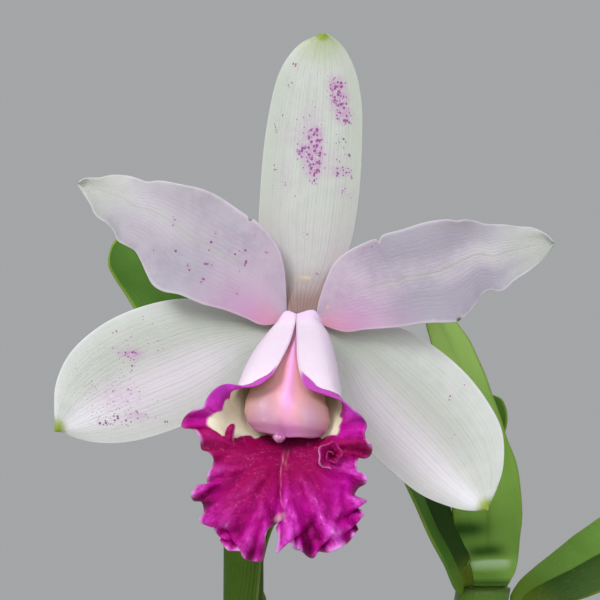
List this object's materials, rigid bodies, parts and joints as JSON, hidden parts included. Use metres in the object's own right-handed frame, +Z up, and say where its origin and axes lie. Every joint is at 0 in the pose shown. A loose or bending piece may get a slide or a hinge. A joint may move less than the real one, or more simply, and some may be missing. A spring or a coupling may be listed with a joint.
{
  "type": "potted orchid",
  "caption": "Orchid with slender leafy pseudobulbs and an open bloom with a ruffled lip, growing in bark in a plain terracotta pot with drain holes.",
  "frame": {"origin": "centre of the pot's underside, on the surface it stands on", "axes": "+Z up the pot's axis; the bloom looks along -Y, with +X on the right as it is faced"},
  "size_m": [0.2643, 0.2274, 0.4716],
  "materials": {
    "terracotta": "matte",
    "bark": "matte",
    "roots": "matte",
    "pseudobulbs": "satin",
    "leaves": "satin",
    "spathe": "satin",
    "stalk": "satin",
    "sepals": "satin",
    "petals": "satin",
    "lip": "satin",
    "column": "satin",
    "anther": "satin"
  },
  "bodies": {
    "root": {"pot": "terracotta", "bark_medium": "bark", "rhizome": "roots", "spathe": "spathe", "pedicel": "stalk", "dorsal_sepal": "sepals", "lateral_sepal_left": "sepals", "lateral_sepal_right": "sepals", "petal_left": "petals", "petal_right": "petals", "lip": "lip", "column": "column", "anther_cap": "anther", "leaf_flowering_left": "leaves", "leaf_flowering_back": "leaves", "leaf_right_broad": "leaves", "leaf_right_edge_on": "leaves", "leaf_rear_upright": "leaves", "leaf_rear_spreading": "leaves", "leaf_old_left_outer": "leaves", "leaf_old_left_inner": "leaves", "leaf_old_back_left": "leaves", "leaf_old_back_right": "leaves", "leaf_young_front": "leaves", "leaf_young_right": "leaves", "pseudobulb_flowering": "pseudobulbs", "pseudobulb_right": "pseudobulbs", "pseudobulb_rear": "pseudobulbs", "pseudobulb_old_left": "pseudobulbs", "pseudobulb_old_back": "pseudobulbs", "pseudobulb_young": "pseudobulbs"}
  },
  "joints": []
}
